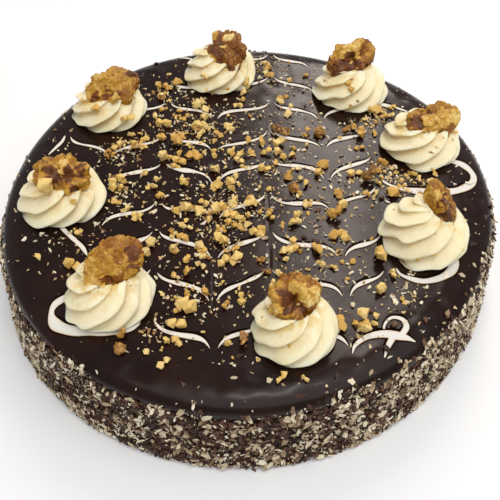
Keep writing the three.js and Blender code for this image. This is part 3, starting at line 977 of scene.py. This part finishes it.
def icing_strokes():
    """Every stroke of icing, as its line on the top and its widths. Each drag ends a stroke."""
    trim = 1.7               # between a stroke's end and the drag line
    slack = 3                # for the lean and the wander of the drag lines
    strokes = []
    for row in ICING_ROWS:
        cuts = [drag_place(line, row.middle + row.rise * line.across) for line in DRAG_LINES]
        for left, right in zip(cuts, cuts[1:]):
            if left < row.left - slack or right > row.right + slack:
                continue
            x = panel_steps(left + trim, right - trim)
            line = np.stack([x, dragged_row(row, x)], -1)
            from_cut = np.minimum(x - left, right - x) - trim + ICING_BLUNT
            strokes.append((line, icing_width(line, ICING_WIDTH, from_cut)))
    return strokes + [turn_stroke(places) for places in TURNS] + knot_strokes()


def turn_stroke(places):
    """The icing of a turn along given places: thick, and thin towards both ends."""
    line = smooth_through(places, np.linspace(0, len(places) - 1, 9 * len(places)))
    walked = np.concatenate([[0], np.cumsum(np.linalg.norm(np.diff(line, axis=0), axis=1))])
    from_cut = np.minimum(walked, walked[-1] - walked) + ICING_BLUNT
    thicker = smooth_step(8, 26, from_cut)
    return line, icing_width(line, ICING_WIDTH + (TURN_WIDTH - ICING_WIDTH) * thicker, from_cut)


def knot_strokes():
    """Where the piping ended, at the front on the right: a blob, a small loop and a tail."""
    knots = [
        ([(43.3, -100.5), (45, -96.5), (50, -92.6), (57, -91), (63.5, -92), (70.5, -94)],
         [0.4, 1.7, 2.7, 3.8, 4.2, 0.5]),
        ([(57.5, -91), (58.5, -86), (62, -82.6), (66.4, -83.6), (67.4, -87.5), (65, -91.5)],
         [0.8, 1.1, 1.5, 2.2, 2.8, 2.6]),
        ([(61.5, -92), (58.8, -96.5), (56.5, -102)], [3, 2.4, 0.6]),
    ]
    strokes = []
    for places, widths in knots:
        shares = np.linspace(0, len(places) - 1, 14 * (len(places) - 1))
        line = smooth_through(places, shares)
        width = smooth_through(np.array(widths)[:, None], shares)[:, 0]
        strokes.append((line, np.maximum(width, 0.3)))
    return strokes


def stroke_mesh(line, width):
    """One stroke as a closed low ribbon on the glaze, with how near each point is to its rim.
    The glaze climbs to it in a rim of painted dark reflection, wider towards the back."""
    along = np.gradient(line, axis=0)
    along /= np.linalg.norm(along, axis=1)[:, None]
    across = np.stack([-along[:, 1], along[:, 0]], -1)
    half = width / 2
    thin = np.minimum(1, width / 2)
    # The dark band of the rim is painted dark reflection, wider on the side towards the back.
    left_rim = 0.35 + 1.1 * thin * np.maximum(across[:, 1], 0)
    right_rim = 0.35 + 1.1 * thin * np.maximum(-across[:, 1], 0)
    shares = [
        (half + left_rim + 0.15, -0.1, 1), (half + left_rim, 0.12, 1), (half + 0.1, 0.2, 0.85),
        (0.86 * half, 0.34, 0.36), (0.4 * half, 0.36, 0), (-0.4 * half, 0.36, 0),
        (-0.86 * half, 0.34, 0.36), (-half - 0.1, 0.2, 0.85), (-half - right_rim, 0.12, 1),
        (-half - right_rim - 0.15, -0.1, 1), (-half, -0.7, 1), (half, -0.7, 1),
    ]
    rings = []
    for away, lift, _ in shares:
        place = line + across * away[:, None]
        height = glaze_height(place[:, 0], place[:, 1]) + lift * (thin if lift > 0 else 1)
        rings.append(np.column_stack([place, height]))
    rings = np.stack(rings, 1)
    rows, columns = rings.shape[:2]
    points = rings.reshape(-1, 3)
    faces = [face[::-1] for face in ring_faces(rows, columns)]
    faces.append(list(range(columns)))
    faces.append(list(range((rows - 1) * columns, rows * columns))[::-1])
    rims = np.tile([rim_share for _, _, rim_share in shares], rows)
    return points, faces, rims


def feather_icing():
    """The white icing lines, dragged into a feather pattern."""
    meshes = []
    rims = []
    for line, width in icing_strokes():
        points, faces, rim = stroke_mesh(line, width)
        meshes.append((points, faces))
        rims.append(rim)
    points, faces = joined(meshes)
    serve(new_object(
        "feather_icing", points, faces, white_icing(), rim=np.concatenate(rims),
    ), "icing")


# --- Cream and walnuts -----------------------------------------------------------------------

def rosette_foot(rosette):
    """Where a rosette stands."""
    return polar(rosette.reach, math.radians(rosette.bearing), CAKE_HEIGHT + PIECE_GAP)


def walnut_middle(rosette):
    """Where the middle of a rosette's walnut is."""
    walnut = rosette.walnut
    return rosette_foot(rosette) + [walnut.right, walnut.back, walnut.up]


def walnut_turn(walnut):
    """The walnut's rotation: its length first runs to the right."""
    yaw, pitch, roll = (math.radians(turn) for turn in walnut.turn)
    return np.array(Euler((roll, pitch, yaw), "XYZ").to_matrix())


def pressed_by(points, rosette):
    """Lowers cream that the walnut would cut through to just under it."""
    walnut = rosette.walnut
    half = np.array(walnut.size) / 2 * 0.97
    to_nut = walnut_turn(walnut).T / half[:, None]
    place = (points - walnut_middle(rosette)) @ to_nut.T
    upwards = to_nut @ np.array([0, 0, 1])
    a = upwards @ upwards
    b = 2 * place @ upwards
    c = (place ** 2).sum(-1) - 1
    inside = b * b - 4 * a * c
    lower = (-b - np.sqrt(np.maximum(inside, 0))) / (2 * a)
    moved = points.copy()
    moved[:, 2] += np.where((inside > 0) & (lower < 0), lower, 0)
    moved[:, 2] = np.maximum(moved[:, 2], CAKE_HEIGHT + 1)
    nearness = np.exp(-np.maximum(np.sqrt((place ** 2).sum(-1)) - 1, 0) / 0.5)
    return moved, nearness


def cream_rosette(number, rosette, material):
    """A piped rosette: each round ridge leans over the furrow below it and winds up to the
    peak."""
    per_ridge = 22
    columns = ROSETTE_RIDGES * per_ridge
    rows = 84
    spans = len(ROSETTE_PROFILE) - 1
    shares = np.linspace(0, spans, rows + 1)[:-1]
    profile = smooth_through(ROSETTE_PROFILE, shares)
    radius = profile[:, :1]
    height = profile[:, 1:]
    column = np.arange(columns)[None, :]
    phase = (column / per_ridge) % 1
    crest = (0.5 - 0.5 * np.cos(2 * math.pi * phase ** 1.25)) ** 0.85
    depth = 0.18 * (1 + 0.5 * height)
    fuller = 0.04 * np.sin(2.4 * (column // per_ridge) + number) * crest
    twist = math.radians(ROSETTE_TWIST) * shares[:, None] / (spans - 1)
    overhang = 0.07 * crest
    angle = column / columns * 2 * math.pi + math.radians(rosette.start) + twist + overhang
    reach = rosette.radius * radius * (1 - depth * (1 - crest) + fuller) * 1.01
    foot = rosette_foot(rosette)
    rings = polar(reach, angle, np.broadcast_to(rosette.height * height, angle.shape)) + foot
    rings = rings + 0.6 * (ripples(rings, 14, number)[..., None] * [1, 1, 0.6])
    points, faces = closed_rings(
        rings, foot + [0, 0, 0.05], foot + [0, 0, rosette.height * 1.04],
    )
    points[:columns, 2] = foot[2]
    points, stain = pressed_by(points, rosette)
    # How deep in a furrow each point lies, for the painted shade of the cream.
    furrow = np.concatenate([np.broadcast_to((1 - crest) ** 3, angle.shape).ravel(), [0, 0]])
    made = new_object(
        f"cream_rosette_{number}", points, faces, material, furrow=furrow * 0.5, stain=stain,
    )
    use_tree(made, RELIEF, Height=0.00025, Lumps_per_metre=380.0, Seed=float(number))
    make_plain(made)
    serve(made, "cream", f"rosette_{number}")
    return points, faces, stain


def spot_place(rosette, spot):
    """A spot's place from the walnut's middle. One that was picked in the crop lies on the near
    side of the nut, to half a millimetre."""
    if len(spot) == 3:
        return spot
    walnut = rosette.walnut
    near_side = 0.38         # of the nut's thickness
    away = walnut_middle(rosette) - CAMERA_PLACE
    way = sight(*(middle - CROP_REACH + picked / CROP_SCALE
                  for middle, picked in zip(walnut.crop, spot)))
    place = way * (away @ sight(IMAGE_WIDTH / 2, IMAGE_WIDTH / 2)) - away
    off = np.linalg.norm(place) / (walnut.size[0] / 2)
    nearer = near_side * walnut.size[2] * math.sqrt(max(0, 1 - off ** 2))
    return np.round(2 * (place - nearer * way / np.linalg.norm(way))) / 2


def walnut_piece(number, rosette, material):
    """A piece of walnut: lobes with a cleft, winding folds, broken faces and its own spots."""
    walnut = rosette.walnut
    spots = [(spot_place(rosette, spot[:-3]), *spot[-3:]) for spot in walnut.spots]
    turn = walnut_turn(walnut)
    points, faces = walnut_form(walnut.size, number)
    outwards = points / np.maximum(np.linalg.norm(points, axis=1), 1e-6)[:, None]
    place = points @ turn.T
    strayed = np.stack([ripples(place, 7, seed) for seed in (1, 2, 3)], -1)
    strayed = strayed + 0.4 * np.stack([ripples(place, 2.6, seed) for seed in (4, 5, 6)], -1)
    covers = []
    golden = np.zeros(len(points))
    for spot, radius, spot_tone, _ in spots:
        away = np.linalg.norm(place + 0.36 * radius * strayed - spot, axis=1) / radius
        covers.append(1 - smooth_step(0.85, 1.1, away))
        golden = np.maximum(golden, covers[-1] * (spot_tone < 0.45))
    winding = ripples(points, 8.5, 40 + number)
    small = ripples(points, 4.2, 60 + number)
    folds = np.exp(-(winding / 0.3) ** 2) * (1 - 0.85 * golden) * walnut.folds
    small_folds = np.exp(-(small / 0.3) ** 2) * (1 - 0.4 * golden)
    plates = np.tanh(3.5 * ripples(place, 6.5, 90 + number))
    sunk = 1.6 * folds + 0.55 * small_folds + 0.45 * plates
    points = points - outwards * sunk[:, None]
    tone = walnut.skin + 0.1 * ripples(points, 12, 80 + number) + 0.05 * plates
    fold = 0.7 * folds + 0.3 * small_folds
    for towards, share in walnut.breaks:
        way = turn.T @ (np.array(towards) / np.linalg.norm(towards))
        reach = points @ way
        over = reach - share * reach.max() - 0.5 * ripples(points, 7, 100 + number)
        chips = 0.3 * ripples(points, 3, 120 + number) * (over > 0)
        points = points - (0.9 * np.maximum(over, 0) + chips)[:, None] * way
        flesh = smooth_step(-0.1, 0.5, over)
        tone = tone + (0.3 - tone) * flesh
        fold = fold * (1 - 0.7 * flesh)
    for (spot, radius, spot_tone, rise), cover in zip(spots, covers):
        tone = tone + (spot_tone - tone) * cover
        near = np.exp(-(np.linalg.norm(place - spot, axis=1) / radius) ** 2)
        points = points + (rise * near)[:, None] * outwards
    points = points @ turn.T + walnut_middle(rosette)
    made = new_object(
        f"walnut_kernel_{number}", points, faces, material,
        fold=np.clip(fold, 0, 1), tone=np.clip(tone, 0, 1),
    )
    use_tree(made, RELIEF, Height=0.001, Lumps_per_metre=400.0, Seed=float(number))
    use_tree(made, RELIEF, Height=0.0005, Lumps_per_metre=1100.0, Seed=float(number))
    make_plain(made)
    serve(made, "walnut", f"walnut_{number}")
    return points, faces


def walnut_form(size, phase):
    """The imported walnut's form around its own middle: its lobes, cleft and knobs."""
    columns, rows = 120, 90
    length, width, depth = size
    along = np.cos((rows - np.arange(rows)) / (rows + 1) * math.pi)[:, None]
    around = turns(columns)[None, :]
    girth = (1 - along ** 2) ** 0.42
    cleft = 0.38 * np.abs(np.cos(around)) ** 10
    wrinkles = 0.11 * np.sin(4 * around + 4 * along + phase)
    knobs = 0.1 * np.sin(7 * along + 2 * around + 2 * phase)
    swell = girth * (1 - cleft + wrinkles + knobs)
    rings = np.stack([
        np.broadcast_to(along * length / 2, swell.shape),
        width / 2 * swell * np.sin(around),
        -depth / 2 * swell * np.cos(around),
    ], -1)
    return closed_rings(rings, (-length / 2, 0, 0), (length / 2, 0, 0))


# --- Flakes, nuts and dust -------------------------------------------------------------------

def shape_set(name, meshes):
    """Shapes of one unit, kept aside for strewing."""
    kept = bpy.data.collections.new(name)
    for number, mesh in enumerate(meshes):
        kept.objects.link(bpy.data.objects.new(f"{name}_{number}", mesh))
    return kept


def flake_shape(draw, corners, width, thickness, curl):
    """A thin curled flake of one unit's length, with uneven corners."""
    angle = (np.arange(corners) + draw.uniform(-0.3, 0.3, corners)) / corners * 2 * math.pi
    reach = draw.uniform(0.36, 0.58, corners)
    x = reach * np.cos(angle)
    y = reach * np.sin(angle) * width
    lift = curl * x ** 2 + draw.uniform(-0.03, 0.03, corners)
    upper = np.stack([x, y, lift + thickness / 2], -1)
    lower = np.stack([x, y, lift - thickness / 2], -1)
    faces = [list(range(corners)), list(range(2 * corners - 1, corners - 1, -1))]
    for corner in range(corners):
        after = (corner + 1) % corners
        faces.append([corner, corner + corners, after + corners, after])
    mesh = bpy.data.meshes.new("flake")
    mesh.from_pydata(np.concatenate([upper, lower]).tolist(), [], faces)
    return mesh


def lump_shape(draw, corners, stretch, knobs=1):
    """A broken lump of one unit: tight skins over a few random corners, grown into each other."""
    shape = bmesh.new()
    for _ in range(knobs):
        middle = (knobs > 1) * 0.2 * draw.normal(size=3)
        knob = []
        for _ in range(corners):
            way = draw.normal(size=3)
            way *= draw.uniform(0.4, 0.54) / knobs ** 0.35 / np.linalg.norm(way)
            knob.append(shape.verts.new((middle + way) * stretch))
        hull = bmesh.ops.convex_hull(shape, input=knob)
        bmesh.ops.delete(shape, geom=hull["geom_interior"], context="VERTS")
    bmesh.ops.recalc_face_normals(shape, faces=shape.faces)
    mesh = bpy.data.meshes.new("lump")
    shape.to_mesh(mesh)
    shape.free()
    return mesh


def cake_skin(name, cover_of):
    """The cake's outer surface from foot to middle, with how thickly something covers it."""
    angle = turns(360)
    hem = hem_height(angle)
    side = [polar(side_radius(angle, share * hem), angle, share * hem)
            for share in np.linspace(0.03, 1, 22)]
    hem_side = [polar(glaze_radius(angle) + 0.2, angle, hem + 0.3)]
    top = [glaze_share(angle, share) for share in np.linspace(1, 0.01, 90)]
    rings = np.array(side + hem_side + top)
    points = rings.reshape(-1, 3)
    return new_object(name, points, ring_faces(*rings.shape[:2]), cover=cover_of(points))


def bearing_of(points):
    """The bearing of points round the cake, in degrees."""
    return np.degrees(np.arctan2(points[:, 1], points[:, 0]))


def coat_edge(points):
    """Height that the coat of flakes reaches: unevenly over the hem of the glaze."""
    bearing = bearing_of(points)
    edge = hem_height(np.radians(bearing)) + 1 + 0.9 * ripples(points[:, :2], 8, 21)
    edge = edge + 0.9 * ripples(points[:, :2], 40, 22)
    for middle, spread, rise in FLAKE_LAPS:
        away = (bearing - middle + 180) % 360 - 180
        edge = edge + rise * np.exp(-(away / spread) ** 2)
    return edge


def side_cover(points):
    """Where the coat of flakes lies."""
    return 1 - smooth_step(-1, 1.6, points[:, 2] - coat_edge(points))


def beige_cover(points):
    """Beige flakes lie on the coat in patches, thicker at the right and on the left."""
    bearing = np.radians(bearing_of(points))
    thick = 0.14 * np.cos(2 * (bearing - math.radians(-15)))
    patches = smooth_step(-1, 1.2, ripples(points, 17, 23) + 0.6 * ripples(points, 7, 24))
    return side_cover(points) * (0.2 + thick + 0.6 * patches)


def foot_cover(points):
    """Fine crumb gathered round the foot."""
    return (1 - smooth_step(1, 6, points[:, 2])) * smooth_step(-0.9, 0.6, ripples(points, 12, 25))


def stray_cover(points):
    """Where single flakes strayed onto the glaze: its shoulder, most where the coat laps over,
    and a few further in."""
    bearing = bearing_of(points)
    above = points[:, 2] - coat_edge(points)
    reach = np.hypot(points[:, 0], points[:, 1])
    near = smooth_step(-0.5, 0.5, above) * np.exp(-np.maximum(above, 0) / 3)
    further = 0.05 * smooth_step(96, 114, reach) * (points[:, 2] > CAKE_HEIGHT - 7)
    facing = 0.35 + 0.65 * smooth_step(0.2, 0.9, np.cos(np.radians(bearing + 42)))
    return (near + further) * facing * clear_of_rosettes(points[:, 0], points[:, 1], 0.5)


def nut_thickness(points):
    """How thickly chopped nuts lie on top: over the middle and in drifts, thin by the rim."""
    x, y, _ = points.T
    cover = 0.06 + 0.34 * np.exp(-((x + 4) / 56) ** 2 - ((y - 10) / 62) ** 2)
    for right, back, spread, weight in NUT_DRIFTS:
        near = ((x - right) ** 2 + (y - back) ** 2) / spread ** 2
        cover = cover + weight * np.exp(-near)
    angle = np.arctan2(y, x)
    inside = 1 - smooth_step(-8, 2, np.hypot(x, y) - glaze_radius(angle) + SHOULDER_WIDTH)
    return cover * inside * clear_of_rosettes(x, y, 0.8) * (points[:, 2] > CAKE_HEIGHT - 6)


def dust_thickness(points):
    """Nut dust lies as the nuts do, and a little of it everywhere."""
    x, y, _ = points.T
    little = 0.02 + 0.06 * smooth_step(-100, -30, y)
    return nut_thickness(points) + little * clear_of_rosettes(x, y, 0.5) * (
        points[:, 2] > CAKE_HEIGHT - 3)


def strew(made, shapes, material, slot):
    """Strews shapes over a surface, by its amounts. They take its place, as one mesh."""
    amounts = STREWN_AMOUNTS[made.name]._asdict()
    use_tree(made, STREWN, Shapes=shapes, Finish=material, **amounts)
    make_plain(made)
    keep_off_floor(made)
    serve(made, slot)


def flake_coat(dust):
    """The coat of the side: dark shavings, beige flakes in patches, and fine crumb."""
    draw = np.random.default_rng(31)
    flakes = shape_set("flake", [
        flake_shape(draw, 5, draw.uniform(0.2, 0.75), 0.12, draw.uniform(-0.7, 0.7))
        for _ in range(12)
    ])
    shavings = shape_set("shaving", [
        flake_shape(draw, 4, draw.uniform(0.3, 0.7), 0.14, draw.uniform(-0.7, 0.7))
        for _ in range(7)
    ])
    crumbs = shape_set("crumb", [lump_shape(draw, 7, (1, 0.8, 0.6)) for _ in range(5)])
    beige = chocolate_flake(
        "beige chocolate flake",
        (0, (104, 76, 54)), (0.22, (166, 142, 110)), (0.6, (212, 196, 164)),
        (1, (242, 232, 208)),
    )
    brown = chocolate_flake(
        "brown chocolate flake",
        (0, (36, 21, 15)), (0.5, (66, 41, 30)), (1, (100, 68, 50)),
    )
    strew(cake_skin("brown_shavings", side_cover), shavings, brown, "flake_coat")
    strew(cake_skin("beige_flakes", beige_cover), flakes, beige, "flakes")
    strew(cake_skin("coat_crumb", beige_cover), crumbs, beige, "flakes")
    strew(cake_skin("foot_crumb", foot_cover), crumbs, dust, "flakes")
    strew(cake_skin("stray_flakes", stray_cover), flakes, beige, "flakes")
    strew(cake_skin("stray_shavings", stray_cover), shavings, brown, "flakes")


def seeded_random(seed):
    """The same repeatable stream of numbers from 0 to 1 that places the part's nuts."""
    state = seed
    whole = 0xFFFFFFFF
    while True:
        state = (state + 0x6D2B79F5) & whole
        mixed = ((state ^ (state >> 15)) * (state | 1)) & whole
        again = ((mixed ^ (mixed >> 7)) * (mixed | 61)) & whole
        mixed ^= (mixed + again) & whole
        yield ((mixed ^ (mixed >> 14)) & whole) / (whole + 1)


def part_nut_places():
    """Places, sizes and turns of the larger nuts, by the rule that the part has."""
    random = seeded_random(5)
    chunk_draws = 13         # that the part takes for the form of each nut
    root_pi = 1.77           # to two places, as the part has it
    edge = GLAZE_RADIUS - SHOULDER_WIDTH - 5
    count = int((edge / NUT_SPACING * root_pi) ** 2)
    nuts = []
    for place in range(1, count):
        reach = NUT_SPACING / root_pi * math.sqrt(place) + 3 * (next(random) - 0.5)
        angle = place * GOLDEN_ANGLE + 0.3 * (next(random) - 0.5)
        x = reach * math.cos(angle)
        y = reach * math.sin(angle)
        size = 3.6 + 3.6 * next(random) ** 2
        density = 0.04 + 0.96 * math.exp(-((x + 4) / 66) ** 2 - ((y - 14) / 76) ** 2)
        kept = next(random) < density
        for _ in range(chunk_draws):
            next(random)
        turn = next(random) * 2 * math.pi
        if kept and reach < edge and clear_of_rosettes(x, y, 0.75 * size):
            nuts.append((x, y, CAKE_HEIGHT + 0.2 * size, size, turn))
    return np.array(nuts)


def eye_catching_nuts():
    """Places, sizes and turns of the nuts picked on the glaze, to the millimetre, and of
    those on the cream."""
    picked = []
    for crop in NUT_CROPS:
        for across, down, size in crop.nuts:
            way = sight(crop.left + across / crop.scale, crop.top + down / crop.scale)
            away = (CAKE_HEIGHT + 1 - CAMERA_PLACE[2]) / way[2]
            x, y, _ = CAMERA_PLACE + away * way
            size = round(size / crop.scale * away / FOCAL_LENGTH, 1)
            picked.append((round(x), round(y), size))
    x, y, size = np.array(picked).T
    turn = GOLDEN_ANGLE * np.arange(len(x))
    middle = glaze_height(x, y) + 0.3 * size
    on_glaze = np.column_stack([x, y, middle, size, turn])
    return np.concatenate([on_glaze, NUTS_ON_CREAM])


def chopped_nuts(nut, dust):
    """Chopped nuts: the larger ones where the part has them, smaller bits, and dust."""
    draw = np.random.default_rng(51)
    chunks = shape_set("chunk", [
        lump_shape(draw, 13, (1.1, 0.95, 0.85), 2) for _ in range(14)
    ])
    splinters = shape_set("splinter", [
        lump_shape(draw, 7, (1.2, 0.65, 0.5)) for _ in range(8)
    ])
    nuts = np.concatenate([part_nut_places(), eye_catching_nuts()])
    chunk_scale = 1.2        # as a chunk is a little smaller than its one unit
    size = nuts[:, 3] * chunk_scale * MM
    large = new_object("large_nuts", nuts[:, :3], [], size=size, turn=nuts[:, 4])
    use_tree(large, PLACED, Shapes=chunks, Finish=nut, Lean=0.35, Seed=61)
    make_plain(large)
    serve(large, "chopped_nuts")
    strew(cake_skin("nut_bits", nut_thickness), chunks, nut, "chopped_nuts")
    strew(cake_skin("nut_dust", dust_thickness), splinters, dust, "chopped_nuts")
    return splinters


def rosette_crumbs(rosettes, walnuts, shapes, nut):
    """Nut crumbs that fell on the cream, thicker near the walnuts, and a few on these."""
    points, faces = joined([(points, faces) for points, faces, _ in rosettes])
    near = np.concatenate([stain for _, _, stain in rosettes])
    on_cream = new_object("rosette_crumbs", points, faces, cover=0.35 + 1.6 * near)
    strew(on_cream, shapes, nut, "chopped_nuts")
    points, faces = joined(walnuts)
    on_nuts = new_object("walnut_crumbs", points, faces, cover=np.ones(len(points)))
    strew(on_nuts, shapes, nut, "chopped_nuts")


# --- Floor, light and camera -----------------------------------------------------------------

def floor():
    """A plain pale floor that the cake stands on."""
    half = 3000
    corners = np.array([(-half, -half, 0), (half, -half, 0), (half, half, 0), (-half, half, 0)])
    under_cake = [0, 0, 0.3]
    new_object("floor", corners - under_cake, [[0, 1, 2, 3]], pale_floor(), False)


def soft_light(name, place, colour, width, height, power, lean=0):
    """A rectangular soft light at a place in metres, looking at the cake. It may lean over by
    some degrees."""
    lamp = bpy.data.lights.new(name, "AREA")
    lamp.shape = "RECTANGLE"
    lamp.size = width
    lamp.size_y = height
    lamp.energy = power
    lamp.color = colour
    made = in_scene(name, lamp)
    made.location = place
    made.rotation_euler = (-Vector(place)).to_track_quat("-Z", "Y").to_euler()
    made.rotation_euler.rotate_axis("Z", math.radians(lean))


def studio():
    """A wide soft light overhead, a pale room all round, a tall window behind on the right that
    shows in the glaze, and a small lamp above that shows on its shoulder."""
    soft_light("overhead", (0.3, -0.45, 1.5), (1, 1, 1), 2.2, 1.5, 17)
    soft_light("window", (0.21, 1.0, 1.0), (1, 0.88, 0.8), 0.26, 0.85, 7, 15)
    soft_light("lamp", (0.12, -0.17, 1.3), (1, 0.95, 0.9), 0.45, 0.07, 2.2)
    world = bpy.data.worlds.new("pale room")
    world.use_nodes = True
    world.node_tree.nodes["Background"].inputs["Color"].default_value = (0.96, 0.98, 1, 1)
    world.node_tree.nodes["Background"].inputs["Strength"].default_value = 0.45
    bpy.context.scene.world = world
    bpy.context.scene.view_settings.view_transform = "Standard"


def camera():
    """The photograph's view, from the front and above."""
    data = bpy.data.cameras.new("camera")
    data.sensor_width = 36
    data.lens = data.sensor_width * FOCAL_LENGTH / IMAGE_WIDTH
    made = in_scene("camera", data)
    made.location = (CAMERA_PLACE + AXIS) * MM
    made.rotation_euler = (math.radians(90 - LOOK_DOWN), 0, 0)
    bpy.context.scene.camera = made


camera()
studio()
floor()
cake_core()
glaze_skin()
feather_icing()
cream = piped_cream()
kernel = walnut_kernel()
rosettes = []
walnuts = []
for number, rosette in enumerate(ROSETTES, 1):
    rosettes.append(cream_rosette(number, rosette, cream))
    walnuts.append(walnut_piece(number, rosette, kernel))
nut = chopped_nut()
dust = nut_dust()
flake_coat(dust)
rosette_crumbs(rosettes, walnuts, chopped_nuts(nut, dust), nut)
